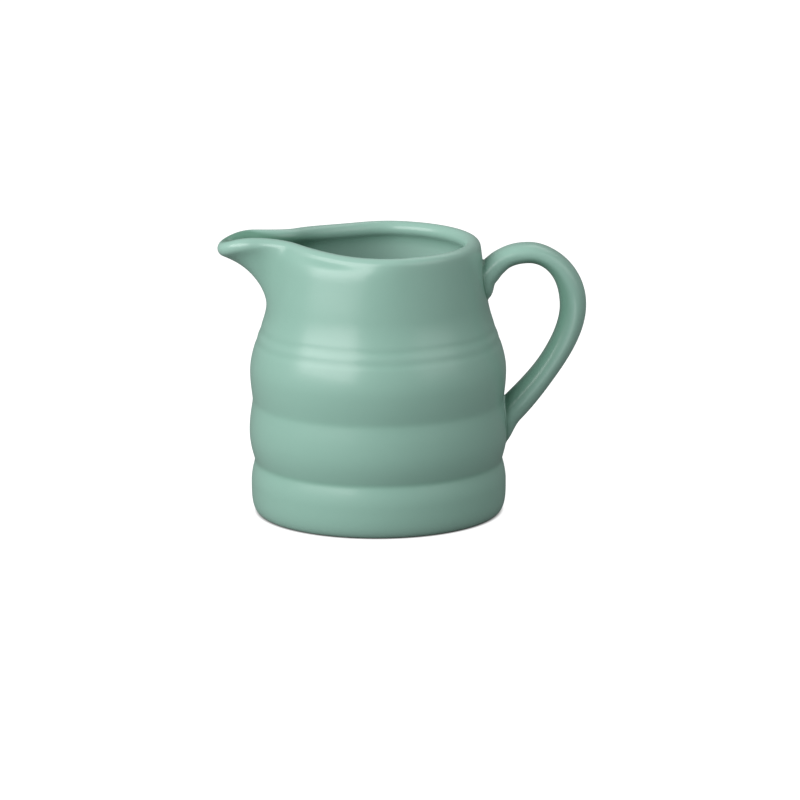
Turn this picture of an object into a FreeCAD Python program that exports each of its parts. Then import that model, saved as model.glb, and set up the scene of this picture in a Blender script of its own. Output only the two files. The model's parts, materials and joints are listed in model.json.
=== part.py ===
# Churn jug: a small glazed pouring jug with three soft bands round a barrel body,
# two fine lines turned into its shoulder, a rolled rim that is pulled out into a
# spout, and a strap handle that is stuck on with slip at both ends.
#
# Millimetres. The origin is the centre of the foot, on the plane that the jug
# stands on. Z is up, the spout points along -X and the handle along +X.

import FreeCAD, Part
import math
import os

# Foot, bands and shoulder: each rise is the height above the turn before it, and each
# inset how far the outside there lies inside the widest band. The softness says how
# gently one band runs into the next
body_radius = 43.0
foot_inset = 3.25
foot_fullness = 3.45
low_band_height = 10.1
low_band_inset = 0.5
low_groove_rise = 7.6
low_groove_inset = 1.96
mid_band_rise = 9.8
high_groove_rise = 10.6
high_groove_inset = 1.4
high_band_rise = 9.7
high_band_inset = 0.33
neck_rise = 23.7
neck_inset = 6.4
groove_softness = 0.6

foot_radius = body_radius - foot_inset
low_band_radius = body_radius - low_band_inset
low_groove_radius = body_radius - low_groove_inset
high_groove_radius = body_radius - high_groove_inset
high_band_radius = body_radius - high_band_inset
neck_radius = body_radius - neck_inset
low_groove_height = low_band_height + low_groove_rise
mid_band_height = low_groove_height + mid_band_rise
high_groove_height = mid_band_height + high_groove_rise
high_band_height = high_groove_height + high_band_rise
neck_height = high_band_height + neck_rise

# Two fine lines turned into the shoulder
line_rise = 10.3
line_spacing = 4.0
line_depth = 0.14
line_width = 4.0
line_heights = (high_band_height + line_rise, high_band_height + line_rise + line_spacing)

# Rolled rim: a round roll whose middle line is a circle, seen from above, and narrows
# towards the spout. The inside leaves the roll at one angle and heads off at another
rim_inset = 4.94
rim_rise = 17.7
rim_roll = 2.65
rim_inner_angle = 220.0
rim_under_angle = 232.0
rim_centre_radius = neck_radius - rim_inset
rim_centre_height = neck_height + rim_rise

# Spout: a half-round nose on two level sides, each eased into the round of the rim.
# Its plan is drawn wide, and then narrows along with that end of the rim
spout_half_width = 9.1
spout_side = 1.0
spout_fillet = 15.7
spout_narrowing_share = 0.24
spout_narrowing_start = 7.3
spout_outer_angle = -68.0
spout_inner_angle = 140.0
spout_spread = 23.0
lip_rise = 2.2
lip_rise_start = 6.0

# Throat: where the wall below the rim swells out into the spout. Each pull says how
# far the wall keeps its heading before it turns
throat_rise = 5.5
throat_height = line_heights[1] + throat_rise
throat_swell_pull = 31.0
throat_rim_pull = 23.0
throat_floor_swell_pull = 37.0
throat_floor_rim_pull = 24.0
throat_flank_thickening = 2.0
plain_pull = 21.5
plain_inner_pull = 10.0

# Wall, floor and the shallow hollow under the foot
wall = 4.4
floor_thickness = 4.2
inner_corner = 7.0
floor_disc_share = 0.71
foot_ring_width = 3.85
hollow_depth = 1.4
hollow_fillet_share = 0.7

# Handle: its middle line lies in the XZ plane, thickness in that plane, width along Y
handle_root_sink = 2.5
handle_root_drop = 11.1
handle_root_angle = 22.3
handle_crest_reach = 13.6
handle_crest_drop = 1.95
handle_far_reach = 21.8
handle_far_drop = 19.8
handle_end_sink = 6.0
handle_end_angle = -151.0
handle_root_pull = 15.6
handle_crest_in_pull = 33.1
handle_crest_out_pull = 19.8
handle_far_in_pull = 34.2
handle_far_out_pull = 52.5
handle_end_pull = 5.9
handle_thickness = 7.3
handle_width = 11.6
handle_root_width = 15.0
handle_end_width = 14.0
handle_squareness = 2.3
handle_flare_share = 0.14

# Thickness along the handle's middle line, as shares of its length and of its thickness
handle_thickness_shares = (
    (0.00, 1.99), (0.04, 1.11), (0.08, 1.01), (0.13, 0.93), (0.25, 0.91),
    (0.45, 1.21), (0.70, 1.11), (0.90, 1.28), (1.00, 1.98),
)

# Slip that sticks the handle on, and how far it is squeezed out round the joint
slip_thickness = 0.8
slip_squeeze = 0.7

# How finely the skins are described
columns = 72
tip_crowding_share = 0.5
rim_rows = 9
throat_rows = 8
line_rows = 8
handle_rings = 40
handle_ring_points = 28
handle_line_steps = 60
foot_row_shares = (0.0, 0.03, 0.1, 0.22, 0.42, 0.7)
band_row_shares = (0.0, 0.4, 0.7, 0.88, 1.0)
shoulder_row_shares = (0.0, 0.36, 0.68)
above_line_row_share = 0.64
inner_band_row_shares = (0.0, 0.5)
inner_corner_row_shares = (1.0, 0.75, 0.5, 0.25, 0.0)
floor_row_shares = (0.5, 1.0)

skin_degree = 3

# Largest gap left between faces that share an edge
sewing_gap = 0.0001


def ease(share):
    """Smooth step from 0 to 1."""
    share = min(1.0, max(0.0, share))
    return share * share * (3.0 - 2.0 * share)


def mix(first, second, share):
    return first + (second - first) * share


def bell(distance, reach):
    """1 at no distance, easing to 0 at the reach."""
    return (1.0 + math.cos(math.pi * min(1.0, abs(distance) / reach))) / 2.0


def hermite(start, start_pull, end, end_pull, share):
    """Point on the curve that leaves start along start_pull and arrives along end_pull."""
    square, cube = share ** 2, share ** 3
    return (start * (2 * cube - 3 * square + 1) + start_pull * (cube - 2 * square + share)
            + end * (3 * square - 2 * cube) + end_pull * (cube - square))


def bands_radius(height, under, groove, over):
    """Radius where two bulging bands meet softly in a groove. Each is given as height, radius."""
    bulges = []
    for crest in (under, over):
        share = (height - crest[0]) / (groove[0] - crest[0])
        bulges.append(crest[1] - (crest[1] - groove[1]) * share ** 2)
    softness = groove_softness * bell(height - groove[0], over[0] - groove[0])
    return (bulges[0] + bulges[1] + math.hypot(bulges[0] - bulges[1], softness)) / 2


def plain_radius(height):
    """Radius of the turned outside at a height, without the two fine lines."""
    if height <= low_band_height:
        below = (low_band_height - height) / low_band_height
        bulge = math.sqrt(max(0.0, 1.0 - below ** foot_fullness))
        return mix(foot_radius, low_band_radius, bulge)
    low_band = low_band_height, low_band_radius
    mid_band = mid_band_height, body_radius
    high_band = high_band_height, high_band_radius
    if height <= mid_band_height:
        return bands_radius(height, low_band, (low_groove_height, low_groove_radius), mid_band)
    if height <= high_band_height:
        return bands_radius(height, mid_band, (high_groove_height, high_groove_radius), high_band)
    lean = neck_lean_angle()
    if height <= neck_height:
        rise = neck_height - high_band_height
        share = (height - high_band_height) / rise
        return hermite(high_band_radius, 0.0, neck_radius, -math.tan(lean) * rise, share)
    if height <= neck_top_height():
        return neck_radius - math.tan(lean) * (height - neck_height)
    rolled = rim_roll ** 2 - (height - rim_centre_height) ** 2
    return rim_centre_radius + math.sqrt(max(0.0, rolled))


def neck_lean_angle():
    """Lean of the straight neck, which runs into the roll of the rim without a step."""
    across, up = neck_radius - rim_centre_radius, rim_centre_height - neck_height
    return math.atan2(across, up) - math.asin(rim_roll / math.hypot(across, up))


def neck_top_height():
    return rim_centre_height + rim_roll * math.sin(neck_lean_angle())


def outer_radius(height):
    cut = 0.0
    for line_height in line_heights:
        cut += line_depth * bell(height - line_height, line_width / 2)
    return plain_radius(height) - cut


def throat_lean():
    """How fast the outside narrows with height where the throat starts."""
    step = line_spacing / 2
    return (plain_radius(throat_height - step) - plain_radius(throat_height + step)) / (2 * step)


def fillet_angle():
    """Angle at the jug's axis from the spout to where the rim's round starts."""
    return math.asin((spout_half_width + spout_fillet) / (rim_centre_radius + spout_fillet))


def rim_lengths():
    """Lengths along half the rim's middle line: nose, level side, fillet and round."""
    angle = fillet_angle()
    nose = spout_half_width * math.pi / 2
    fillet = spout_fillet * (math.pi / 2 - angle)
    half_round = rim_centre_radius * (math.pi - angle)
    return nose, spout_side, fillet, half_round


def spout_reach():
    """Distance from the jug's axis to the middle of the spout's half-round nose."""
    return (rim_centre_radius + spout_fillet) * math.cos(fillet_angle()) + spout_side


def rim_plan(distance):
    """Place and outward direction of the rim's middle line, seen from above."""
    place, out = wide_plan(distance)
    span = rim_centre_radius + spout_narrowing_start
    share = min(1.0, max(0.0, (spout_narrowing_start - place.x) / span))
    width = 1 - spout_narrowing_share * ease(share)
    slant = spout_narrowing_share * 6 * share * (1 - share) / span
    across = FreeCAD.Vector(out.x * width - slant * place.y * out.y, out.y, 0)
    return FreeCAD.Vector(place.x, place.y * width, 0), across.normalize()


def wide_plan(distance):
    """The same before it narrows towards the spout."""
    nose, side, fillet, half_round = rim_lengths()
    nose_centre = FreeCAD.Vector(-spout_reach(), 0, 0)
    if distance <= nose:
        turn = distance / spout_half_width
        out = FreeCAD.Vector(-math.cos(turn), -math.sin(turn), 0)
        return nose_centre + out * spout_half_width, out
    distance -= nose
    if distance <= side:
        out = FreeCAD.Vector(0, -1, 0)
        return nose_centre + FreeCAD.Vector(distance, 0, 0) + out * spout_half_width, out
    distance -= side
    if distance <= fillet:
        centre = nose_centre + FreeCAD.Vector(side, -spout_half_width - spout_fillet, 0)
        turn = distance / spout_fillet
        out = FreeCAD.Vector(-math.sin(turn), -math.cos(turn), 0)
        return centre - out * spout_fillet, out
    turn = fillet_angle() + (distance - fillet) / rim_centre_radius
    out = FreeCAD.Vector(-math.cos(turn), -math.sin(turn), 0)
    return out * rim_centre_radius, out


def rim_height(place, distance):
    """The rim climbs towards the spout and droops again at its tip."""
    rise = ease((-place.x - lip_rise_start) / (spout_reach() - lip_rise_start))
    nose = rim_lengths()[0]
    droop = math.cos(min(distance, nose) / spout_half_width) ** 2
    return rim_centre_height + lip_rise * (rise - droop)


def body_turn(distance):
    """Angle at the axis, from the spout, of the body's column below a place on the rim."""
    nose, side, fillet, half_round = rim_lengths()
    start = nose + side + fillet
    angle = fillet_angle()
    if distance >= start:
        return angle + (distance - start) / rim_centre_radius
    quick = (start / rim_centre_radius - angle) / (2 * start ** 3)
    steady = angle / start - quick * start ** 2
    return steady * distance + quick * distance ** 3


def column_distances():
    """Distances along half the rim, from the spout's tip, closer together at the tip."""
    total = sum(rim_lengths())
    half = columns // 2
    distances = []
    for number in range(half + 1):
        share = number / half
        distances.append(total * mix(share ** 2, share, tip_crowding_share))
    return distances


def outer_heights():
    """Heights of the rows on the turned outside, from the foot to the throat."""
    heights = [low_band_height * share for share in foot_row_shares]
    crests_and_grooves = (
        (low_band_height, low_groove_height), (mid_band_height, low_groove_height),
        (mid_band_height, high_groove_height), (high_band_height, high_groove_height),
    )
    for crest, groove in crests_and_grooves:
        heights += [mix(crest, groove, share) for share in band_row_shares]
    heights += [mix(high_band_height, line_heights[0], share) for share in shoulder_row_shares]
    first_height = line_heights[0] - line_spacing / 2
    heights += [first_height + 2 * line_spacing * row / line_rows for row in range(line_rows + 1)]
    heights.append(mix(line_heights[-1], throat_height, above_line_row_share))
    return sorted(height for height in set(heights) if height < throat_height)


def turned_point(radius, turn, height):
    return FreeCAD.Vector(-radius * math.cos(turn), -radius * math.sin(turn), height)


def rim_point(middle, out, angle):
    turn = math.radians(angle)
    return middle + (out * math.cos(turn) + FreeCAD.Vector(0, 0, math.sin(turn))) * rim_roll


def rim_heading(out, angle):
    turn = math.radians(angle)
    return out * -math.sin(turn) + FreeCAD.Vector(0, 0, math.cos(turn))


def wall_section(distance):
    """Points of one column: up the outside, over the rim and down the inside."""
    place, out = rim_plan(distance)
    middle = place + FreeCAD.Vector(0, 0, rim_height(place, distance))
    turn = body_turn(distance)
    pull = bell(distance, spout_spread)
    outer_angle = mix(math.degrees(neck_lean_angle()), spout_outer_angle, pull)
    inner_angle = mix(rim_inner_angle, spout_inner_angle, pull)
    under_angle = mix(rim_under_angle, spout_inner_angle, pull)
    lean = throat_lean()
    up = FreeCAD.Vector(math.cos(turn) * lean, math.sin(turn) * lean, 1).normalize()

    points = [turned_point(outer_radius(height), turn, height) for height in outer_heights()]

    # Outside of the throat, from the shoulder to the rolled rim
    start = turned_point(outer_radius(throat_height), turn, throat_height)
    start_pull = up * mix(plain_pull, throat_swell_pull, pull)
    end = rim_point(middle, out, outer_angle)
    end_pull = rim_heading(out, outer_angle) * mix(plain_pull, throat_rim_pull, pull)
    for row in range(throat_rows):
        share = row / throat_rows
        swelled = hermite(start, start_pull, end, end_pull, share)
        height = mix(throat_height, neck_top_height(), share)
        plain = turned_point(plain_radius(height), turn, height)
        points.append(mix(plain, swelled, bell(distance, 2 * spout_spread)))

    # Over the rolled rim
    for row in range(rim_rows + 1):
        points.append(rim_point(middle, out, mix(outer_angle, inner_angle, row / rim_rows)))

    # Inside of the throat, from the rolled rim down to the shoulder, with more wall left
    # on both flanks of the spout
    thickening = throat_flank_thickening * 4 * pull * (1 - pull)
    start = rim_point(middle, out, inner_angle)
    start_pull = rim_heading(out, under_angle) * mix(plain_inner_pull, throat_floor_rim_pull, pull)
    end = turned_point(plain_radius(throat_height) - wall, turn, throat_height)
    end_pull = up * -mix(plain_inner_pull, throat_floor_swell_pull, pull)
    for row in range(1, throat_rows + 1):
        share = row / throat_rows
        inside = hermite(start, start_pull, end, end_pull, share)
        points.append(inside - out * (thickening * math.sin(math.pi * share)))
    return points + inner_points(turn)


def inner_points(turn):
    """Points down the inside, from below the throat to the floor."""
    floor_height = hollow_depth + floor_thickness
    corner_top = floor_height + inner_corner
    bends = (throat_height, high_band_height, high_groove_height, mid_band_height,
             low_groove_height, corner_top)
    points = []
    for high, low in zip(bends, bends[1:]):
        heights = [mix(high, low, share) for share in inner_band_row_shares]
        points += [turned_point(plain_radius(height) - wall, turn, height)
                   for height in heights if height < throat_height]
    corner_radius = plain_radius(corner_top) - wall - inner_corner
    for share in inner_corner_row_shares:
        angle = share * math.pi / 2
        radius = corner_radius + inner_corner * math.sin(angle)
        points.append(turned_point(radius, turn, corner_top - inner_corner * math.cos(angle)))
    for share in floor_row_shares:
        radius = corner_radius * mix(1.0, floor_disc_share, share)
        points.append(turned_point(radius, turn, floor_height))
    return points


def eased_poles(points):
    """Poles that make a cubic skin run through the points of one open row."""
    inner = []
    for before, point, after in zip(points, points[1:], points[2:]):
        inner.append(point - (before - point * 2 + after) * (1 / 6))
    first = (points[0] * 2 + inner[0]) * (1 / 3)
    last = (points[-1] * 2 + inner[-1]) * (1 / 3)
    return [points[0], first] + inner + [last, points[-1]]


def open_knot_counts(pole_count):
    """How often each knot of an open row counts, so that the row ends on its end poles."""
    spans = pole_count - skin_degree
    return [skin_degree + 1] + [1] * (spans - 1) + [skin_degree + 1]


def closed_poles(rings):
    """The same round each ring, which closes on itself."""
    count = len(rings)
    poles = []
    for number in range(count):
        before, here, after = rings[number - 1], rings[number], rings[(number + 1) % count]
        poles.append([b * (4 / 3) - (a + c) * (1 / 6) for a, b, c in zip(before, here, after)])
    return poles


def skin(lines):
    """Cubic surface through lines of points. The lines stand side by side round a ring."""
    poles = closed_poles([eased_poles(line) for line in lines])
    around = len(poles)
    knot_counts = open_knot_counts(len(poles[0]))
    surface = Part.BSplineSurface()
    surface.buildFromPolesMultsKnots(
        poles, [1] * (around + 1), knot_counts,
        list(range(around + 1)), list(range(len(knot_counts))),
        True, False, skin_degree, skin_degree)
    return surface


def solid_in_skin(lines):
    """Solid inside a skin that is closed by a flat face at each end."""
    side = skin(lines).toShape()
    ends = [edge for edge in side.Edges if edge.isClosed()]
    caps = [Part.Face(Part.Wire([edge])) for edge in ends]
    solid = Part.Solid(Part.Shell([side] + caps))
    solid.fix(sewing_gap, sewing_gap, sewing_gap)
    return solid


def build_body():
    distances = column_distances()
    half = [wall_section(distance) for distance in distances]
    mirrored = [[FreeCAD.Vector(p.x, -p.y, p.z) for p in line] for line in half[-2:0:-1]]
    blank = solid_in_skin(half + mirrored)
    return blank.cut(foot_hollow())


def foot_hollow():
    """The shallow hollow under the foot, which leaves a flat ring to stand on."""
    overrun = hollow_depth
    hollow = Part.makeCylinder(
        foot_radius - foot_ring_width, hollow_depth + overrun, FreeCAD.Vector(0, 0, -overrun))
    top = [edge for edge in hollow.Edges if edge.isClosed() and edge.BoundBox.ZMin > 0]
    return hollow.makeFillet(hollow_depth * hollow_fillet_share, top)


def heading(angle):
    turn = math.radians(angle)
    return FreeCAD.Vector(math.cos(turn), 0, math.sin(turn))


def handle_spans():
    """The three stretches of the handle's middle line: ends, each with its pull."""
    root_height = rim_centre_height - handle_root_drop
    root = FreeCAD.Vector(plain_radius(root_height) - handle_root_sink, 0, root_height)
    crest = FreeCAD.Vector(neck_radius + handle_crest_reach, 0, rim_centre_height - handle_crest_drop)
    far = FreeCAD.Vector(body_radius + handle_far_reach, 0, rim_centre_height - handle_far_drop)
    end = FreeCAD.Vector(body_radius - handle_end_sink, 0, mid_band_height)
    level, down = heading(0), heading(-90)
    return (
        (root, heading(handle_root_angle) * handle_root_pull, crest, level * handle_crest_in_pull),
        (crest, level * handle_crest_out_pull, far, down * handle_far_in_pull),
        (far, down * handle_far_out_pull, end, heading(handle_end_angle) * handle_end_pull),
    )


def handle_line():
    """Points and directions at even steps along the handle's middle line, one for each ring."""
    fine = []
    for span in handle_spans():
        fine += [hermite(*span, step / handle_line_steps) for step in range(handle_line_steps)]
    fine.append(span[2])
    run = [0.0]
    for before, after in zip(fine, fine[1:]):
        run.append(run[-1] + before.distanceToPoint(after))
    line = []
    for number in range(handle_rings):
        wanted = run[-1] * number / (handle_rings - 1)
        index = min(range(1, len(run) - 1), key=lambda place: abs(run[place] - wanted))
        forward = (fine[index + 1] - fine[index - 1]).normalize()
        line.append((fine[index] + forward * (wanted - run[index]), forward))
    return line


def share_value(table, share):
    """Value at a share of the length, eased between the rows of a table."""
    for (low, low_value), (high, high_value) in zip(table, table[1:]):
        if share <= high:
            return mix(low_value, high_value, ease((share - low) / (high - low)))
    return table[-1][1]


def handle_section(share):
    """Thickness and width of the handle at a share of its length."""
    thickness = handle_thickness * share_value(handle_thickness_shares, share)
    flare = mix(handle_root_width, handle_end_width, share) - handle_width
    spread = 1 - ease(min(share, 1 - share) / handle_flare_share)
    return thickness, handle_width + flare * spread


def ring(middle, forward, thickness, width):
    """Rounded ring square to the handle's middle line."""
    up = FreeCAD.Vector(-forward.z, 0, forward.x)
    points = []
    for number in range(handle_ring_points):
        turn = 2 * math.pi * number / handle_ring_points
        high, wide = math.sin(turn), math.cos(turn)
        size = (abs(high) ** handle_squareness + abs(wide) ** handle_squareness) ** (-1 / handle_squareness)
        points.append(middle + up * (high * size * thickness / 2)
                      + FreeCAD.Vector(0, wide * size * width / 2, 0))
    return points


def handle_blank(growth, first, last):
    """The handle from one of its rings to another, grown all round by a length."""
    rings = []
    for number, (middle, forward) in enumerate(handle_line()):
        thickness, width = handle_section(number / (handle_rings - 1))
        rings.append(ring(middle, forward, thickness + 2 * growth, width + 2 * growth))
    return solid_in_skin([list(line) for line in zip(*rings[first:last])])


def turned_form(growth):
    """The outside below the handle as a plain solid of revolution, grown by a thickness."""
    section = wall_section(sum(rim_lengths()))
    crest = max(range(len(section)), key=lambda row: section[row].z)
    profile = [FreeCAD.Vector(point.x + growth, 0, point.z) for point in section[:crest + 1]]
    poles = eased_poles(profile)
    knot_counts = open_knot_counts(len(poles))
    curve = Part.BSplineCurve()
    curve.buildFromPolesMultsKnots(
        poles, knot_counts, list(range(len(knot_counts))), False, skin_degree)
    top = FreeCAD.Vector(0, 0, profile[-1].z)
    bottom = FreeCAD.Vector()
    edges = [
        curve.toShape(),
        Part.makeLine(profile[-1], top),
        Part.makeLine(top, bottom),
        Part.makeLine(bottom, profile[0]),
    ]
    face = Part.Face(Part.Wire(edges))
    return face.revolve(FreeCAD.Vector(), FreeCAD.Vector(0, 0, 1), 360)


def build_handle():
    """The handle, which ends a layer of slip away from the wall."""
    cut = handle_blank(0.0, 0, handle_rings).cut(turned_form(slip_thickness))
    return max(cut.Solids, key=lambda solid: solid.Volume)


def build_slip_joint(first, last):
    """Layer of slip between the wall and one end of the handle."""
    squeezed = handle_blank(slip_squeeze, first, last)
    return squeezed.common(turned_form(slip_thickness)).cut(turned_form(0.0))


def main():
    os.makedirs("parts", exist_ok=True)
    middle_ring = handle_rings // 2
    shapes = {
        "jug_body": build_body(),
        "handle": build_handle(),
        "upper_slip_joint": build_slip_joint(0, middle_ring),
        "lower_slip_joint": build_slip_joint(middle_ring, handle_rings),
    }
    for name, shape in shapes.items():
        shape.exportStep("parts/" + name + ".step")
        print(name, "valid", shape.isValid(), "solids", len(shape.Solids), "volume", round(shape.Volume))


main()
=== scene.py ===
"""Churn jug: a glazed kitchen jug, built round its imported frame, on a plain pale stage."""

import json
import math

import bmesh
import bpy
from bpy.props import FloatProperty, FloatVectorProperty, IntProperty, PointerProperty
from bpy.types import Operator, Panel, PropertyGroup
from mathutils import Matrix, Vector

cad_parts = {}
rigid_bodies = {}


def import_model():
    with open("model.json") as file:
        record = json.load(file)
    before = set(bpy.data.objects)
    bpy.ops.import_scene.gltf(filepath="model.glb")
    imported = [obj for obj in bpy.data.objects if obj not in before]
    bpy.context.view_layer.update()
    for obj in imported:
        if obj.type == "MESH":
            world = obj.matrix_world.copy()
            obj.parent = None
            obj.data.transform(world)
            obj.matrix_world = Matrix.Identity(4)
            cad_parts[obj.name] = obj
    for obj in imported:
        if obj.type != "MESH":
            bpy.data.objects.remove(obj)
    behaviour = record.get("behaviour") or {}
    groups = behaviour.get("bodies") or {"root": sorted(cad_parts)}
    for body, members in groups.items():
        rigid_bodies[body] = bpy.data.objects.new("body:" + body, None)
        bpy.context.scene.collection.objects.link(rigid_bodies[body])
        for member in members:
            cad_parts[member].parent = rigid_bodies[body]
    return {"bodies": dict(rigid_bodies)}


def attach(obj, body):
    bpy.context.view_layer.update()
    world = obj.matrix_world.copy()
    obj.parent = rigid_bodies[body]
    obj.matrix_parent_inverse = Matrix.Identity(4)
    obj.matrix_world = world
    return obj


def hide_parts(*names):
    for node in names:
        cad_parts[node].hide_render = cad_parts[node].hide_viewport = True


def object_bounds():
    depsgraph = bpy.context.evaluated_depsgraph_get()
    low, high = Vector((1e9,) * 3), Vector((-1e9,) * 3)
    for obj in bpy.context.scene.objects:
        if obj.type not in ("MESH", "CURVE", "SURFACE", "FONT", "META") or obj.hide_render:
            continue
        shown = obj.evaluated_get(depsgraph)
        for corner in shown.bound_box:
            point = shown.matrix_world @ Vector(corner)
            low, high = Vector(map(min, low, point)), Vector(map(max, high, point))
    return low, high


bl_info = {
    "name": "Churn Jug",
    "version": (1, 0, 0),
    "blender": (4, 5, 0),
    "location": "3D View > Sidebar > Churn Jug",
    "description": "Builds a glazed churn jug round its packed frame, and a plain stage for it",
    "category": "Add Mesh",
}

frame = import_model()
CAD_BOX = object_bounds()

MM = 0.001
BODY = "root" if "root" in frame["bodies"] else sorted(frame["bodies"])[0]


# Kinds of setting

def length(name, millimetres, description):
    return FloatProperty(name=name, description=description, default=millimetres * MM,
                         precision=5, unit="LENGTH", subtype="DISTANCE")


def angle(name, degrees, description):
    return FloatProperty(name=name, description=description, default=math.radians(degrees),
                         unit="ROTATION", subtype="ANGLE")


def number(name, default, description):
    return FloatProperty(name=name, description=description, default=default, precision=3)


def share(name, default, description):
    return FloatProperty(name=name, description=description, default=default,
                         min=0.0, soft_max=1.0, subtype="FACTOR")


def count(name, default, description):
    return IntProperty(name=name, description=description, default=default, min=3)


def linear(*screen_values):
    """Screen colour values from 0 to 255 as the light that they stand for."""
    light = []
    for value in screen_values:
        part = value / 255
        light.append(part / 12.92 if part <= 0.04045 else ((part + 0.055) / 1.055) ** 2.4)
    return tuple(light)


def colour(name, screen_values, description):
    return FloatVectorProperty(name=name, description=description, size=3, min=0.0, max=1.0,
                               default=linear(*screen_values), subtype="COLOR")


# Settings

class JugBodySettings(PropertyGroup):
    """Sizes of the turned body."""
    body_radius: length("Body radius", 43.0, "Radius of the widest band")
    foot_inset: length("Foot inset", 3.25, "How far the foot lies inside the widest band")
    foot_fullness: number("Foot fullness", 3.45, "How square the wall turns under at the foot")
    low_band_height: length("Low band height", 10.1, "Height of the low band's crest")
    low_band_inset: length("Low band inset", 0.5, "How far its crest lies inside the widest band")
    low_groove_rise: length("Low groove rise", 7.6, "From the low band's crest up to the groove")
    low_groove_inset: length("Low groove inset", 1.96, "Depth of the low groove")
    mid_band_rise: length("Mid band rise", 9.8, "From the low groove up to the mid band's crest")
    high_groove_rise: length("High groove rise", 10.6, "From the mid band's crest up to the groove")
    high_groove_inset: length("High groove inset", 1.4, "Depth of the high groove")
    high_band_rise: length("High band rise", 9.7, "From the high groove up to the high band's crest")
    high_band_inset: length("High band inset", 0.33, "How far its crest lies inside the widest band")
    neck_rise: length("Neck rise", 23.7, "From the high band's crest up to the straight neck")
    neck_inset: length("Neck inset", 6.4, "How far the neck lies inside the widest band")
    groove_softness: length("Groove softness", 0.6, "How softly one band runs into the next")
    line_rise: length("Line rise", 10.3, "From the high band's crest up to the lower fine line")
    line_spacing: length("Line spacing", 4.0, "Between the two fine lines")
    line_depth: length("Line depth", 0.14, "Depth of a fine line")
    line_width: length("Line width", 4.0, "Width of a fine line")
    wall: length("Wall", 4.4, "Thickness of the wall")
    floor_thickness: length("Floor thickness", 4.2, "Thickness of the floor")
    inner_corner: length("Inner corner", 7.0, "Round between floor and wall inside")
    foot_ring_width: length("Foot ring width", 3.85, "Width of the ring that the jug stands on")
    foot_ring_edge: length("Foot ring edge", 0.4, "Round on the inner edge of that ring")
    hollow_depth: length("Hollow depth", 1.4, "Depth of the hollow under the foot")
    columns: count("Columns", 144, "Columns of faces round the jug")


class JugRimSettings(PropertyGroup):
    """Sizes of the rolled rim and its spout."""
    rim_inset: length("Rim inset", 4.94, "From the neck's radius in to the middle of the rolled rim")
    rim_rise: length("Rim rise", 17.7, "From the foot of the neck up to the middle of the rolled rim")
    rim_roll: length("Rim roll", 2.65, "Radius of the rolled rim")
    rim_inner_angle: angle("Rim inner angle", 220.0, "Where the inside leaves the roll")
    rim_under_angle: angle("Rim under angle", 232.0, "Which way it heads off from there")
    spout_half_width: length("Spout half width", 9.1, "Half the width of the spout's nose as drawn")
    spout_side: length("Spout side", 1.0, "Length of the spout's level sides")
    spout_fillet: length("Spout fillet", 15.7, "Round between the spout's side and the rim")
    spout_narrowing_share: share("Spout narrowing", 0.24, "Share of its width that its end loses")
    spout_narrowing_start: length("Narrowing start", 7.3, "Distance past the axis where that starts")
    spout_outer_angle: angle("Spout outer angle", -68.0, "Where the outside meets the roll at the nose")
    spout_inner_angle: angle("Spout inner angle", 140.0, "Where the inside leaves the roll at the nose")
    spout_spread: length("Spout spread", 23.0, "How far round the rim the spout's swell reaches")
    lip_rise: length("Lip rise", 2.2, "How far the rim climbs towards the spout")
    lip_rise_start: length("Lip rise start", 6.0, "Distance from the axis where that climb starts")
    throat_rise: length("Throat rise", 5.5, "From the upper fine line to where the throat starts")
    throat_swell_pull: length("Throat swell pull", 31.0, "How far the throat keeps to the shoulder")
    throat_rim_pull: length("Throat rim pull", 23.0, "How far the throat keeps to the rim")
    throat_floor_swell_pull: length("Floor swell pull", 37.0, "The same inside, at the shoulder")
    throat_floor_rim_pull: length("Floor rim pull", 24.0, "The same inside, at the rim")
    throat_flank_thickening: length("Flank thickening", 2.0, "Wall added inside on the spout's flanks")
    plain_pull: length("Plain pull", 21.5, "Away from the spout, outside")
    plain_inner_pull: length("Plain inner pull", 10.0, "Away from the spout, inside")


class JugHandleSettings(PropertyGroup):
    """Sizes of the handle and of the slip that sticks it on."""
    root_sink: length("Root sink", 2.5, "How deep the handle's line starts inside the wall")
    root_drop: length("Root drop", 11.1, "From the rolled rim down to the handle's root")
    root_angle: angle("Root angle", 22.3, "Rise of the handle where it leaves the wall")
    crest_reach: length("Crest reach", 13.6, "From the neck out to the handle's crest")
    crest_drop: length("Crest drop", 1.95, "From the rolled rim down to the crest's middle line")
    far_reach: length("Far reach", 21.8, "From the widest band out to the handle's far side")
    far_drop: length("Far drop", 19.8, "From the rolled rim down to the handle's far side")
    end_sink: length("End sink", 6.0, "How deep the handle's line ends inside the wall")
    end_angle: angle("End angle", -151.0, "Heading of the handle where it meets the wall")
    root_pull: length("Root pull", 15.6, "How far the line keeps its heading from the root")
    crest_in_pull: length("Crest in pull", 33.1, "The same before the crest")
    crest_out_pull: length("Crest out pull", 19.8, "The same after the crest")
    far_in_pull: length("Far in pull", 34.2, "The same before the far side")
    far_out_pull: length("Far out pull", 52.5, "The same after the far side")
    end_pull: length("End pull", 5.9, "The same before the end")
    thickness: length("Thickness", 7.3, "Thickness of the handle at its crest")
    width: length("Width", 11.6, "Width of the strap")
    root_width: length("Root width", 15.0, "Width at the root")
    end_width: length("End width", 14.0, "Width at the end")
    squareness: number("Squareness", 2.3, "2 is an oval section, more is squarer")
    flare_share: share("Flare share", 0.14, "Share of the length over which each end widens")
    slip_on_handle: length("Slip on handle", 0.9, "How far the squeezed slip runs up the handle")
    slip_on_wall: length("Slip on wall", 0.7, "How far it runs out over the wall")
    slip_sink: length("Slip sink", 0.05, "How far its thin edges lie below the surfaces they join")


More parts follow.
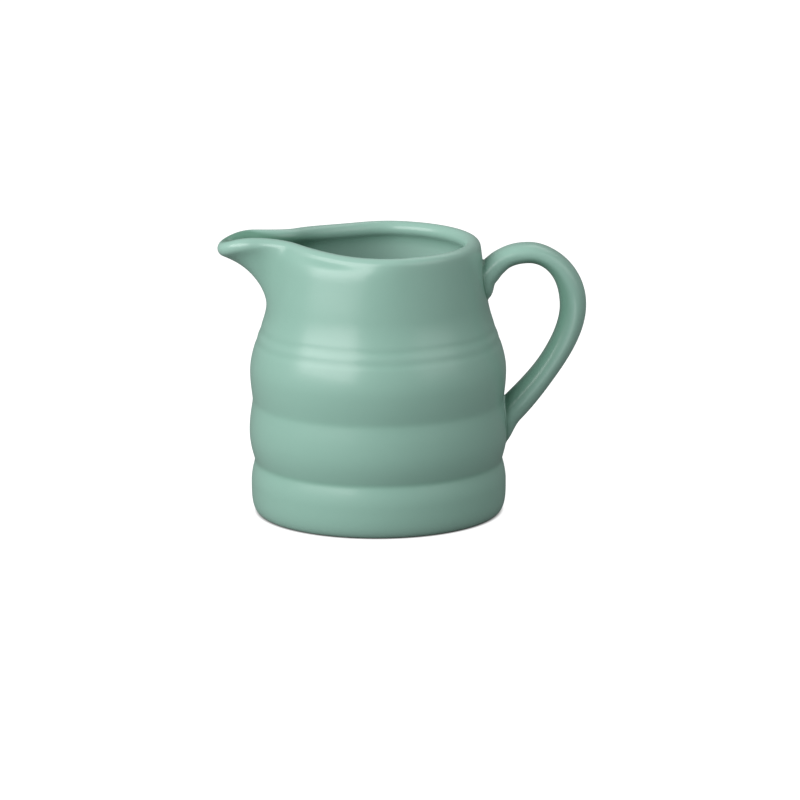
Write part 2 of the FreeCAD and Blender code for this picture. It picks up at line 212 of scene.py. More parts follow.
class JugGlazeSettings(PropertyGroup):
    """Colours and surface of the glaze."""
    glaze: colour("Glaze", (137, 176, 162), "Sage green glaze at its usual thickness")
    # The thin colour also serves as painted light inside the jug and as a painted highlight along the
    # handle's edge; the pooled colour also as painted shade in the spout's channel, on the handle's
    # side facing the gap and, in part, at the handle's joints
    glaze_thin_and_painted_light: colour("Thin glaze", (158, 192, 180), "Where the glaze runs thin over an edge")
    glaze_pooled_and_painted_shade: colour("Pooled glaze", (96, 138, 120), "Where the glaze pools in a hollow")
    clay: colour("Clay", (214, 206, 190), "Bare fired clay on the ring that the jug stands on")
    roughness: share("Roughness", 0.32, "Roughness of the glaze under its clear top")
    coat: share("Coat", 0.12, "Weight of the glaze's clear top")
    coat_roughness: share("Coat roughness", 0.14, "Roughness of the clear top")
    ripple: length("Ripple", 0.008, "Height of the ripples in the glaze")
    mottle: share("Mottle", 0.08, "How strongly the colour drifts over the jug")
    # Painted light: the glaze inside is drawn paler by this share, standing in for light that falls
    # inside the jug
    inside_painted_light: share("Inside thinning", 0.45, "How much thinner the glaze lies inside")


class JugStageSettings(PropertyGroup):
    """Camera, lamps and floor."""
    aim_across: length("Aim across", 7.21, "Where the camera aims, towards the handle")
    aim_height: length("Aim height", 37.23, "Height of that point")
    camera_distance: length("Camera distance", 2000.0, "From that point to the camera")
    camera_elevation: angle("Camera elevation", 13.25, "How far the camera looks down")
    camera_roll: angle("Camera roll", -0.27, "How far the picture leans")
    view_width: length("View width", 266.67, "Width of the view at the jug")
    floor_size: length("Floor size", 6000.0, "Side of the square floor")
    floor: colour("Floor", (120, 120, 120), "Colour of the floor and the backdrop")
    floor_lift: number("Floor lift", 1.0, "Light that only the camera sees added to the floor")
    shadow_reach: length("Shadow reach", 2.5, "How far round the foot the floor's shadow shows")
    room_level: number("Room level", 0.45, "Light of the pale room on the jug")
    room_glint: number("Room glint", 0.25, "Light of the pale room as the glaze mirrors it")


# Sums that several pieces use

def ease(part):
    """Smooth step from 0 to 1."""
    part = min(1.0, max(0.0, part))
    return part * part * (3.0 - 2.0 * part)


def mix(first, second, part):
    return first + (second - first) * part


def bell(distance, reach):
    """1 at no distance, easing to 0 at the reach."""
    return (1.0 + math.cos(math.pi * min(1.0, abs(distance) / reach))) / 2.0


def hermite(start, start_pull, end, end_pull, part):
    """Point on the curve that leaves start along start_pull and arrives along end_pull."""
    square, cube = part ** 2, part ** 3
    return (start * (2 * cube - 3 * square + 1) + start_pull * (cube - 2 * square + part)
            + end * (3 * square - 2 * cube) + end_pull * (cube - square))


def evenly(start, end, steps):
    """Values from start up to, but without, end."""
    return [mix(start, end, step / steps) for step in range(steps)]


# Shape of the body

# Rows of faces up the outside: on the foot, on each side of a band, in half a groove, on the
# shoulder below the fine lines, across a fine line and above the lines
FOOT_ROWS = 12
BAND_ROWS = 7
GROOVE_ROWS = 3
SHOULDER_ROWS = 8
LINE_ROWS = 8
ABOVE_LINES_ROWS = 3

# How far from a groove's bottom its closer rows reach
GROOVE_ROWS_REACH = 1.2 * MM

# Rows on each side of the throat, over the rolled rim, from bend to bend down the inside, and
# round the corner of the floor
THROAT_ROWS = 14
RIM_ROWS = 16
INSIDE_BEND_ROWS = 5
CORNER_ROWS = 8

# Rows under the foot: across the hollow as shares of its radius, down its side and over the
# ring's inner edge as turns, and across the ring as shares of its width
HOLLOW_SHARES = (0.03, 0.2, 0.5, 0.8, 0.93)
HOLLOW_SIDE_TURNS = (0.3, 0.7, 1.1)
RING_EDGE_TURNS = (0.2, 0.8, 1.3)
RING_SHARES = (0.3, 0.6, 0.9)

# Rows on the floor inside, as shares of the radius of its flat part
FLOOR_SHARES = (0.85, 0.55, 0.25, 0.04)

# How evenly the columns lie along the rim: at 1 evenly, at 0 crowded towards the spout's tip
COLUMN_EVENNESS = 0.5

# How the neck leans in to the narrowed rim beside the spout: the share of that lean that is
# eased over the whole neck, and how late the rest comes, just under the roll
EASED_LEAN_SHARE = 0.36
LATE_LEAN_POWER = 16


class JugForm:
    """Outside, rim and inside of the jug as points, worked out from its settings."""

    def __init__(self, body, rim):
        def turned(height, inset=0.0):
            return height, body.body_radius - inset

        self.body = body
        self.rim = rim
        self.low_band = turned(body.low_band_height, body.low_band_inset)
        self.low_groove = turned(self.low_band[0] + body.low_groove_rise, body.low_groove_inset)
        self.mid_band = turned(self.low_groove[0] + body.mid_band_rise)
        self.high_groove = turned(self.mid_band[0] + body.high_groove_rise, body.high_groove_inset)
        self.high_band = turned(self.high_groove[0] + body.high_band_rise, body.high_band_inset)
        self.neck = turned(self.high_band[0] + body.neck_rise, body.neck_inset)
        first_line = self.high_band[0] + body.line_rise
        self.lines = first_line, first_line + body.line_spacing
        self.foot_radius = body.body_radius - body.foot_inset
        self.rim_radius = self.neck[1] - rim.rim_inset
        self.rim_height = self.neck[0] + rim.rim_rise
        self.throat_height = self.lines[1] + rim.throat_rise
        across, up = rim.rim_inset, rim.rim_rise
        self.neck_lean = math.atan2(across, up) - math.asin(rim.rim_roll / math.hypot(across, up))
        self.neck_top = self.rim_height + rim.rim_roll * math.sin(self.neck_lean)

        fillet_reach = self.rim_radius + rim.spout_fillet
        self.fillet_turn = math.asin((rim.spout_half_width + rim.spout_fillet) / fillet_reach)
        self.spout_reach = fillet_reach * math.cos(self.fillet_turn) + rim.spout_side
        self.nose_run = rim.spout_half_width * math.pi / 2
        self.fillet_run = rim.spout_fillet * (math.pi / 2 - self.fillet_turn)
        self.round_start = self.nose_run + rim.spout_side + self.fillet_run
        self.half_run = self.round_start + self.rim_radius * (math.pi - self.fillet_turn)

    def plain_radius(self, height):
        """Radius of the turned outside at a height, without the two fine lines."""
        body, rim = self.body, self.rim
        if height <= self.low_band[0]:
            below = (self.low_band[0] - height) / self.low_band[0]
            bulge = math.sqrt(max(0.0, 1.0 - below ** body.foot_fullness))
            return mix(self.foot_radius, self.low_band[1], bulge)
        if height <= self.mid_band[0]:
            return self.bands_radius(height, self.low_band, self.low_groove, self.mid_band)
        if height <= self.high_band[0]:
            return self.bands_radius(height, self.mid_band, self.high_groove, self.high_band)
        if height <= self.neck[0]:
            rise = self.neck[0] - self.high_band[0]
            part = (height - self.high_band[0]) / rise
            return hermite(self.high_band[1], 0.0, self.neck[1], -math.tan(self.neck_lean) * rise, part)
        if height <= self.neck_top:
            return self.neck[1] - math.tan(self.neck_lean) * (height - self.neck[0])
        rolled = rim.rim_roll ** 2 - (height - self.rim_height) ** 2
        return self.rim_radius + math.sqrt(max(0.0, rolled))

    def bands_radius(self, height, under, groove, over):
        """Two bulging bands that meet softly in a groove."""
        bulges = []
        for crest in (under, over):
            part = (height - crest[0]) / (groove[0] - crest[0])
            bulges.append(crest[1] - (crest[1] - groove[1]) * part ** 2)
        gap = bulges[0] - bulges[1]
        softness = self.body.groove_softness * bell(height - groove[0], (over[0] - groove[0]))
        return (bulges[0] + bulges[1] + math.hypot(gap, softness)) / 2

    def outer_radius(self, height):
        body = self.body
        cut = sum(body.line_depth * bell(height - line, body.line_width / 2) for line in self.lines)
        return self.plain_radius(height) - cut

    def rim_plan(self, distance):
        """Place and outward direction of the rim's middle line, seen from above."""
        place, out = self.wide_plan(distance)
        start, narrowing = self.rim.spout_narrowing_start, self.rim.spout_narrowing_share
        span = self.rim_radius + start
        part = min(1.0, max(0.0, (start - place.x) / span))
        width = 1 - narrowing * ease(part)
        slant = narrowing * 6 * part * (1 - part) / span
        across = Vector((out.x * width - slant * place.y * out.y, out.y, 0))
        return Vector((place.x, place.y * width, 0)), across.normalized()

    def wide_plan(self, distance):
        """The same before it narrows towards the spout."""
        nose, side, fillet = self.rim.spout_half_width, self.rim.spout_side, self.rim.spout_fillet
        nose_centre = Vector((-self.spout_reach, 0, 0))
        if distance <= self.nose_run:
            turn = distance / nose
            out = Vector((-math.cos(turn), -math.sin(turn), 0))
            return nose_centre + out * nose, out
        distance -= self.nose_run
        if distance <= side:
            out = Vector((0, -1, 0))
            return nose_centre + Vector((distance, 0, 0)) + out * nose, out
        distance -= side
        if distance <= self.fillet_run:
            centre = nose_centre + Vector((side, -nose - fillet, 0))
            turn = distance / fillet
            out = Vector((-math.sin(turn), -math.cos(turn), 0))
            return centre - out * fillet, out
        turn = self.fillet_turn + (distance - self.fillet_run) / self.rim_radius
        out = Vector((-math.cos(turn), -math.sin(turn), 0))
        return out * self.rim_radius, out

    def rim_middle(self, distance):
        """Middle line of the rolled rim, which climbs towards the spout and droops at its tip."""
        rim = self.rim
        place, out = self.rim_plan(distance)
        rise = ease((-place.x - rim.lip_rise_start) / (self.spout_reach - rim.lip_rise_start))
        droop = math.cos(min(distance, self.nose_run) / rim.spout_half_width) ** 2
        return place + Vector((0, 0, self.rim_height + rim.lip_rise * (rise - droop))), out

    def body_turn(self, distance):
        """Angle at the axis, from the spout, of the body's column below a place on the rim."""
        start, turn = self.round_start, self.fillet_turn
        if distance >= start:
            return turn + (distance - start) / self.rim_radius
        quick = (start / self.rim_radius - turn) / (2 * start ** 3)
        steady = turn / start - quick * start ** 2
        return steady * distance + quick * distance ** 3

    def column_distances(self):
        """Distances along half the rim, from the spout's tip, closer together at the tip."""
        half = self.body.columns // 2
        parts = [step / half for step in range(half + 1)]
        return [self.half_run * mix(part ** 2, part, COLUMN_EVENNESS) for part in parts]

    def outer_heights(self):
        """Heights of the rows on the turned outside, from the foot to the throat."""
        heights = [self.low_band[0] * (row / FOOT_ROWS) ** 2 for row in range(FOOT_ROWS)]
        for crest, groove, above in ((self.low_band, self.low_groove, self.mid_band),
                                     (self.mid_band, self.high_groove, self.high_band)):
            low, high = groove[0] - GROOVE_ROWS_REACH, groove[0] + GROOVE_ROWS_REACH
            heights += evenly(crest[0], low, BAND_ROWS)
            heights += evenly(low, high, 2 * GROOVE_ROWS)
            heights += evenly(high, above[0], BAND_ROWS)
        reach = self.body.line_spacing / 2
        heights += evenly(self.high_band[0], self.lines[0] - reach, SHOULDER_ROWS)
        for line in self.lines:
            heights += evenly(line - reach, line + reach, LINE_ROWS)
        return heights + evenly(self.lines[1] + reach, self.throat_height, ABOVE_LINES_ROWS)

    def turned_point(self, radius, turn, height):
        return Vector((-radius * math.cos(turn), -radius * math.sin(turn), height))

    def rolled_point(self, middle, out, turn):
        return middle + (out * math.cos(turn) + Vector((0, 0, math.sin(turn)))) * self.rim.rim_roll

    def rolled_heading(self, out, turn):
        return out * -math.sin(turn) + Vector((0, 0, math.cos(turn)))

    def column(self, distance):
        """Points of one column: under the foot, up the outside, over the rim, down the inside."""
        rim = self.rim
        middle, out = self.rim_middle(distance)
        turn = self.body_turn(distance)
        pull = bell(distance, rim.spout_spread)
        outer_turn = mix(self.neck_lean, rim.spout_outer_angle, pull)
        inner_turn = mix(rim.rim_inner_angle, rim.spout_inner_angle, pull)
        under_turn = mix(rim.rim_under_angle, rim.spout_inner_angle, pull)
        step = self.body.line_spacing / 2
        lean = (self.plain_radius(self.throat_height - step)
                - self.plain_radius(self.throat_height + step)) / (2 * step)
        up = Vector((math.cos(turn) * lean, math.sin(turn) * lean, 1)).normalized()

        points = [self.turned_point(radius, turn, height) for radius, height in self.underside()]
        points += [self.turned_point(self.outer_radius(height), turn, height)
                   for height in self.outer_heights()]

        # Outside of the throat, from the shoulder to the rolled rim
        start = self.turned_point(self.outer_radius(self.throat_height), turn, self.throat_height)
        start_pull = up * mix(rim.plain_pull, rim.throat_swell_pull, pull)
        end = self.rolled_point(middle, out, outer_turn)
        end_pull = self.rolled_heading(out, outer_turn) * mix(rim.plain_pull, rim.throat_rim_pull, pull)
        plain_end = self.turned_point(self.plain_radius(self.neck_top), turn, self.neck_top)
        for row in range(THROAT_ROWS):
            part = row / THROAT_ROWS
            swelled = hermite(start, start_pull, end, end_pull, part)
            height = mix(self.throat_height, self.neck_top, part)
            plain = self.turned_point(self.plain_radius(height), turn, height)
            plain += (end - plain_end) * mix(part ** LATE_LEAN_POWER, ease(part), EASED_LEAN_SHARE)
            points.append(mix(plain, swelled, bell(distance, 2 * rim.spout_spread)))

        # Over the rolled rim
        for row in range(RIM_ROWS + 1):
            points.append(self.rolled_point(middle, out, mix(outer_turn, inner_turn, row / RIM_ROWS)))

        # Inside of the throat, with more wall left on both flanks of the spout
        start = self.rolled_point(middle, out, inner_turn)
        start_pull = self.rolled_heading(out, under_turn) * mix(
            rim.plain_inner_pull, rim.throat_floor_rim_pull, pull)
        end = self.turned_point(self.inner_radius(self.throat_height), turn, self.throat_height)
        end_pull = up * -mix(rim.plain_inner_pull, rim.throat_floor_swell_pull, pull)
        thickening = rim.throat_flank_thickening * 4 * pull * (1 - pull)
        for row in range(1, THROAT_ROWS):
            part = row / THROAT_ROWS
            inside = hermite(start, start_pull, end, end_pull, part)
            points.append(inside - out * (thickening * math.sin(math.pi * part)))
        return points + [self.turned_point(radius, turn, height) for radius, height in self.inside()]

    def inside_row_count(self):
        """How many of a column's points lie below the rolled rim on the inside."""
        return THROAT_ROWS - 1 + len(self.inside())

    def inner_radius(self, height):
        return self.plain_radius(height) - self.body.wall

    def underside(self):
        """Radius and height of the rows under the foot, from its middle out to its outer edge."""
        body = self.body
        ring = self.foot_radius - body.foot_ring_width
        edge, depth = body.foot_ring_edge, body.hollow_depth
        rows = [(ring * part, depth) for part in HOLLOW_SHARES]
        rows += [(ring - depth * (1 - math.sin(turn)), depth * math.cos(turn))
                 for turn in HOLLOW_SIDE_TURNS]
        rows += [(ring + edge * (1 - math.cos(turn)), edge * (1 - math.sin(turn)))
                 for turn in RING_EDGE_TURNS]
        return rows + [(mix(ring, self.foot_radius, part), 0.0) for part in RING_SHARES]

    def inside(self):
        """Radius and height of the rows down the inside, from the throat to the floor's middle."""
        body = self.body
        floor = body.hollow_depth + body.floor_thickness
        corner_top = floor + body.inner_corner
        bends = (self.throat_height, self.high_band[0], self.high_groove[0], self.mid_band[0],
                 self.low_groove[0], corner_top)
        rows = []
        for high, low in zip(bends, bends[1:]):
            rows += [(self.inner_radius(height), height)
                     for height in evenly(high, low, INSIDE_BEND_ROWS)]
        corner_radius = self.inner_radius(corner_top) - body.inner_corner
        for row in range(CORNER_ROWS + 1):
            turn = math.pi / 2 * (1 - row / CORNER_ROWS)
            rows.append((corner_radius + body.inner_corner * math.sin(turn),
                         corner_top - body.inner_corner * math.cos(turn)))
        return rows + [(corner_radius * part, floor) for part in FLOOR_SHARES]


# Shape of the handle

# Thickness along the handle's middle line, as shares of its length and of its thickness
HANDLE_THICKNESS_SHARES = (
    (0.00, 1.99), (0.04, 1.11), (0.08, 1.01), (0.13, 0.93), (0.25, 0.91),
    (0.45, 1.21), (0.70, 1.11), (0.90, 1.28), (1.00, 1.98),
)

# Rings along the handle's middle line, points round each of them, and rows of faces along the
# handle and across the slip at its ends
HANDLE_RINGS = 240
HANDLE_RING_POINTS = 48
HANDLE_ROWS = 110
SLIP_ROWS = 8

# Where the hidden edge of the slip lies, in towards the joint's middle and down into the wall,
# as multiples of the slip's sink
SLIP_HIDDEN_INSET = 3
SLIP_HIDDEN_DEPTH = 6


class HandleForm:
    """Lines along the handle's surface, worked out from its settings."""

    def __init__(self, jug, handle):
        self.jug = jug
        self.handle = handle

    def spans(self):
        """The three stretches of the handle's middle line: ends, each with its pull."""
        jug, handle = self.jug, self.handle
        root_height = jug.rim_height - handle.root_drop
        root = Vector((jug.plain_radius(root_height) - handle.root_sink, 0, root_height))
        crest = Vector((jug.neck[1] + handle.crest_reach, 0, jug.rim_height - handle.crest_drop))
        far = Vector((jug.body.body_radius + handle.far_reach, 0, jug.rim_height - handle.far_drop))
        end = Vector((jug.mid_band[1] - handle.end_sink, 0, jug.mid_band[0]))
        rising = Vector((math.cos(handle.root_angle), 0, math.sin(handle.root_angle)))
        landing = Vector((math.cos(handle.end_angle), 0, math.sin(handle.end_angle)))
        level, down = Vector((1, 0, 0)), Vector((0, 0, -1))
        return (
            (root, rising * handle.root_pull, crest, level * handle.crest_in_pull),
            (crest, level * handle.crest_out_pull, far, down * handle.far_in_pull),
            (far, down * handle.far_out_pull, end, landing * handle.end_pull),
        )

    def middle_line(self):
        """Points and directions at even steps along the handle's middle line."""
        fine = []
        for span in self.spans():
            fine += [hermite(*span, part) for part in evenly(0.0, 1.0, HANDLE_RINGS)]
        fine.append(span[2])
        run = run_lengths(fine)
        line, index = [], 1
        for ring in range(HANDLE_RINGS):
            wanted = run[-1] * ring / (HANDLE_RINGS - 1)
            while index < len(run) - 2 and run[index] < wanted:
                index += 1
            forward = (fine[index + 1] - fine[index - 1]).normalized()
            line.append((fine[index] + forward * (wanted - run[index]), forward))
        return line

    def section(self, part):
        """Thickness and width of the handle at a part of its length."""
        handle, shares = self.handle, HANDLE_THICKNESS_SHARES
        for (low, low_value), (high, high_value) in zip(shares, shares[1:]):
            if part <= high:
                break
        thickness = handle.thickness * mix(low_value, high_value, ease((part - low) / (high - low)))
        flare = mix(handle.root_width, handle.end_width, part) - handle.width
        spread = 1 - ease(min(part, 1 - part) / handle.flare_share)
        return thickness, handle.width + flare * spread

    def lines(self):
        """Lines along the handle's surface, side by side round its section."""
        rings = []
        power = self.handle.squareness
        for index, (middle, forward) in enumerate(self.middle_line()):
            thickness, width = self.section(index / (HANDLE_RINGS - 1))
            up = Vector((-forward.z, 0, forward.x))
            ring = []
            for point in range(HANDLE_RING_POINTS):
                turn = 2 * math.pi * point / HANDLE_RING_POINTS
                high, wide = math.sin(turn), math.cos(turn)
                size = (abs(high) ** power + abs(wide) ** power) ** (-1 / power)
                ring.append(middle + up * (high * size * thickness / 2)
                            + Vector((0, wide * size * width / 2, 0)))
            rings.append(ring)
        return [list(line) for line in zip(*rings)]

    def gap(self, point):
        """How far a point stands out from the wall."""
        return math.hypot(point.x, point.y) - self.jug.outer_radius(point.z)

    def on_wall(self, point, sink=0.0):
        """The point on the wall at the same height and the same turn."""
        radius = self.jug.outer_radius(point.z) - sink
        scale = radius / math.hypot(point.x, point.y)
        return Vector((point.x * scale, point.y * scale, point.z))

    def free_line(self, line):
        """The stretch of a line that stands out from the wall, with its ends on the wall."""
        gaps = [self.gap(point) for point in line]
        middle = len(line) // 2
        first = max(index for index in range(middle) if gaps[index] <= 0)
        last = min(index for index in range(middle, len(line)) if gaps[index] <= 0)
        start = mix(line[first], line[first + 1], -gaps[first] / (gaps[first + 1] - gaps[first]))
        end = mix(line[last], line[last - 1], -gaps[last] / (gaps[last - 1] - gaps[last]))
        return [start] + line[first + 1:last] + [end]


def run_lengths(line):
    """How far along a line each of its points lies."""
    run = [0.0]
    for before, after in zip(line, line[1:]):
        run.append(run[-1] + (after - before).length)
    return run


def at_run(line, run, wanted):
    """Point of a line at a distance along it."""
    for index in range(1, len(run)):
        if run[index] >= wanted:
            part = (wanted - run[index - 1]) / (run[index] - run[index - 1])
            return mix(line[index - 1], line[index], part)
    return line[-1]


# Meshes

# How thick the glaze lies where it is neither thin, at 0, nor pooled, at 1
USUAL_DEPTH = 0.5

# Radius of bend at which a crest would take the glaze's whole thickness, and over how many
# neighbours in a row the bend is smoothed
GLAZE_BEND_RADIUS = 0.9 * MM
GLAZE_SMOOTHINGS = 4

# Over how many rows below the rim the painted light inside grows: the glaze inside is drawn paler
# there, standing in for light inside the jug
INSIDE_PAINTED_LIGHT_ROWS = 4

# Painted shade in the spout's channel, drawn as thicker, darker glaze: how strong it is, how far along
# the rim from the spout's tip that reaches, and over how many rows of the rolled rim it grows to that
SPOUT_PAINTED_SHADE = 2.2
SPOUT_PAINTED_SHADE_REACH = 52.0 * MM
SPOUT_PAINTED_SHADE_ROWS = 10

# Painted shade on the handle's side that faces the gap, drawn as thicker, darker glaze: how strong it
# is, over which part of the handle's length and over how wide a turn it grows to that
GAP_PAINTED_SHADE = 0.42
GAP_PARTS = (0.12, 0.3)
GAP_TURN = math.radians(38.0)

# Painted highlight along the edge of the strap, drawn as thinner, paler glaze: how strong it is, where
# that edge is and how wide, and the parts of the handle's length at which that starts, is full, starts
# to fade and has faded
EDGE_PAINTED_HIGHLIGHT = 1.0
EDGE_TURN = math.radians(7.5)
EDGE_SPREAD = math.radians(10.0)
EDGE_PARTS = (0.42, 0.55, 0.85, 0.97)

# How much thicker the glaze lies at the handle's ends and on the slip, partly pooled glaze and partly
# painted shade in the joints, and how far that reaches
JOINT_POOLING_AND_PAINTED_SHADE = 0.45
JOINT_POOLING_AND_PAINTED_SHADE_REACH = 3.5 * MM


def mesh_from_rings(name, rings, ends):
    """Mesh of faces between closed rings, shut by a fan at each end or joined end to end."""
    shape = bmesh.new()
    rows = [[shape.verts.new(point) for point in ring] for ring in rings]
    around = len(rings[0])
    pairs = list(zip(rows, rows[1:]))
    if ends == "joined":
        pairs.append((rows[-1], rows[0]))
    for low, high in pairs:
        for here in range(around):
            beside = (here + 1) % around
            shape.faces.new((low[here], low[beside], high[beside], high[here]))
    if ends == "shut":
        for ring, row in ((rings[0], rows[0]), (rings[-1], rows[-1])):
            centre = shape.verts.new(sum(ring, Vector()) / around)
            for here in range(around):
                shape.faces.new((row[here], row[(here + 1) % around], centre))
    bmesh.ops.recalc_face_normals(shape, faces=shape.faces)
    for face in shape.faces:
        face.smooth = True
    mesh = bpy.data.meshes.new(name)
    shape.to_mesh(mesh)
    shape.free()
    return mesh


def add_object(name, data):
    thing = bpy.data.objects.new(name, data)
    bpy.context.scene.collection.objects.link(thing)
    return thing


def add_piece(name, mesh, material, node):
    """Puts a piece into the scene in the place of its node in the frame."""
    piece = add_object(name, mesh)
    mesh.materials.append(material)
    rounding = piece.modifiers.new("rounding", "SUBSURF")
    rounding.levels = rounding.render_levels = 1
    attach(piece, BODY)
    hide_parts(node)


def write_depth_and_painted_light(mesh, offsets):
    """Keeps how thick the glaze lies at each point of a mesh.

    It runs thin over sharp crests and pools in hollows, and offsets shift it point by point; some
    offsets are painted light and shade.
    """
    depths = []
    for bend, offset in zip(surface_bends(mesh), offsets):
        depth = USUAL_DEPTH - GLAZE_BEND_RADIUS * bend + offset
        depths.append(min(1.0, max(0.0, depth)))
    layer = mesh.attributes.new("glaze_depth_and_painted_light", "FLOAT", "POINT")
    layer.data.foreach_set("value", depths)


def surface_bends(mesh):
    """How strongly the surface bulges at each point, in radians per metre, smoothed a little."""
    points = mesh.vertices
    neighbours = [[] for _ in points]
    for edge in mesh.edges:
        first, second = edge.vertices
        span = points[second].co - points[first].co
        bend = span.dot(points[second].normal - points[first].normal) / span.length_squared
        neighbours[first].append((second, bend))
        neighbours[second].append((first, bend))
    bends = [sum(bend for _, bend in near) / len(near) for near in neighbours]
    for _ in range(GLAZE_SMOOTHINGS):
        bends = [(bends[index] + sum(bends[other] for other, _ in near) / len(near)) / 2
                 for index, near in enumerate(neighbours)]
    return bends


# Materials

# Noise in the materials, each as lumps per metre and how many finer layers it has: the slow
# drift and the cloud in the glaze's colour, the ripples in its surface, the grain of bare clay
DRIFT = 38.0, 3.0
CLOUD = 260.0, 4.0
RIPPLES = 330.0, 1.0
GRAIN = 2400.0, 6.0
NOISE_MIDDLE = 0.5

# The cloud's share of the mottle, and the share of its roughness that the glaze gains or loses
# with the cloud
CLOUD_SHARE = 0.5
ROUGHNESS_DRIFT_SHARE = 0.1

# How strongly the glaze and its clear top bend light
GLAZE_IOR = 1.45
COAT_IOR = 1.5

# Bare clay: its roughness, the height of its grain, how ragged the wiped edge of the glaze is,
# and how far that edge starts below the plane that the jug stands on
CLAY_ROUGHNESS = 0.85
CLAY_GRAIN_HEIGHT = 0.05 * MM
WIPED_EDGE_RAGGEDNESS = 0.2 * MM
WIPED_EDGE_DROP = 0.02 * MM

WHITE = (1.0, 1.0, 1.0, 1.0)


class NodeMaker:
    """Fills the node tree of a material or a world."""

    def __init__(self, owner):
        owner.use_nodes = True
        self.tree = owner.node_tree
        self.tree.nodes.clear()

    def add(self, kind, values=None, **settings):
        """Adds a node with its inputs set, or linked where a socket is given."""
        node = self.tree.nodes.new(kind)
        for key, value in settings.items():
            setattr(node, key, value)
        for key, value in (values or {}).items():
            if isinstance(value, bpy.types.NodeSocket):
                self.tree.links.new(value, node.inputs[key])
            else:
                node.inputs[key].default_value = value
        return node

    def math(self, operation, *values):
        return self.add("ShaderNodeMath", dict(enumerate(values)), operation=operation).outputs[0]

    def spread(self, value, low, high):
        """A value between 0 and 1, spread out between low and high."""
        return self.add("ShaderNodeMapRange", {
            "Value": value, "To Min": low, "To Max": high}).outputs["Result"]

    def noise(self, place, lumps):
        """Noise between 0 and 1 at a place in the piece."""
        scale, layers = lumps
        return self.add("ShaderNodeTexNoise", {
            "Vector": place, "Scale": scale, "Detail": layers}).outputs["Fac"]


def with_alpha(values):
    return (*values, 1.0)


def glaze_material(name, settings, bare_foot=False):
    """Glossy glaze, paler where it runs thin and deeper where it pools, with painted light and shade
    drawn in the same colours.
    """
    material = bpy.data.materials.new(name)
    nodes = NodeMaker(material)
    place = nodes.add("ShaderNodeTexCoord").outputs["Object"]
    cloud = nodes.noise(place, CLOUD)
    drift = nodes.noise(place, DRIFT)

    depth = nodes.add("ShaderNodeAttribute", attribute_name="glaze_depth_and_painted_light").outputs["Fac"]
    for noise, mottle in ((drift, settings.mottle), (cloud, settings.mottle * CLOUD_SHARE)):
        centred = nodes.math("SUBTRACT", noise, NOISE_MIDDLE)
        depth = nodes.math("MULTIPLY_ADD", centred, mottle, depth)
    ramp = nodes.add("ShaderNodeValToRGB", {"Fac": depth})
    stops = ramp.color_ramp.elements
    stops[0].color = with_alpha(settings.glaze_thin_and_painted_light)
    stops[1].color = with_alpha(settings.glaze_pooled_and_painted_shade)
    stops.new(USUAL_DEPTH).color = with_alpha(settings.glaze)

    bump = nodes.add("ShaderNodeBump", {
        "Height": nodes.noise(place, RIPPLES), "Distance": settings.ripple}).outputs["Normal"]
    rough = nodes.spread(cloud, settings.roughness * (1 - ROUGHNESS_DRIFT_SHARE),
                         settings.roughness * (1 + ROUGHNESS_DRIFT_SHARE))
    surface = nodes.add("ShaderNodeBsdfPrincipled", {
        "Base Color": ramp.outputs["Color"], "Roughness": rough, "IOR": GLAZE_IOR, "Normal": bump,
        "Coat Weight": settings.coat, "Coat Roughness": settings.coat_roughness,
        "Coat IOR": COAT_IOR, "Coat Normal": bump,
    }).outputs["BSDF"]
    if bare_foot:
        surface = bare_foot_shader(nodes, settings, place, surface)
    nodes.add("ShaderNodeOutputMaterial", {"Surface": surface})
    return material


def bare_foot_shader(nodes, settings, place, glazed):
    """Bare clay on the flat ring that the jug stands on, where the glaze is wiped off."""
    height = nodes.add("ShaderNodeSeparateXYZ", {"Vector": place}).outputs["Z"]
    grain = nodes.noise(place, GRAIN)
    edge = nodes.math("MULTIPLY_ADD", grain, WIPED_EDGE_RAGGEDNESS, -WIPED_EDGE_DROP)
    wiped = nodes.math("LESS_THAN", height, edge)
    dry = nodes.add("ShaderNodeBump", {
        "Height": grain, "Distance": CLAY_GRAIN_HEIGHT}).outputs["Normal"]
    clay = nodes.add("ShaderNodeBsdfPrincipled", {
        "Base Color": with_alpha(settings.clay), "Roughness": CLAY_ROUGHNESS,
        "Normal": dry}).outputs["BSDF"]
    return nodes.add("ShaderNodeMixShader", {0: wiped, 1: glazed, 2: clay}).outputs["Shader"]


def floor_material(stage, foot_radius):
    """Matt floor that the camera sees as white, but for the shadow close round the foot."""
    material = bpy.data.materials.new("pale_floor")
    nodes = NodeMaker(material)
    matt = nodes.add("ShaderNodeBsdfDiffuse", {"Color": with_alpha(stage.floor)}).outputs["BSDF"]
    place = nodes.add("ShaderNodeTexCoord").outputs["Object"]
    reach = nodes.add("ShaderNodeVectorMath", {0: place}, operation="LENGTH").outputs["Value"]
    lift = nodes.add("ShaderNodeMapRange", {
        "Value": reach, "From Min": foot_radius, "From Max": foot_radius + stage.shadow_reach,
        "To Max": stage.floor_lift}, interpolation_type="SMOOTHSTEP").outputs["Result"]
    camera_ray = nodes.add("ShaderNodeLightPath").outputs["Is Camera Ray"]
    glow = nodes.add("ShaderNodeEmission", {
        "Color": WHITE, "Strength": nodes.math("MULTIPLY", camera_ray, lift)}).outputs["Emission"]
    both = nodes.add("ShaderNodeAddShader", {0: matt, 1: glow}).outputs["Shader"]
    nodes.add("ShaderNodeOutputMaterial", {"Surface": both})
    return material


# Building the pieces

def scene_settings(context):
    """Shape of the jug, shape of its handle, and the settings of the glaze."""
    scene = context.scene
    jug = JugForm(scene.jug_body, scene.jug_rim)
    return jug, HandleForm(jug, scene.jug_handle), scene.jug_glaze


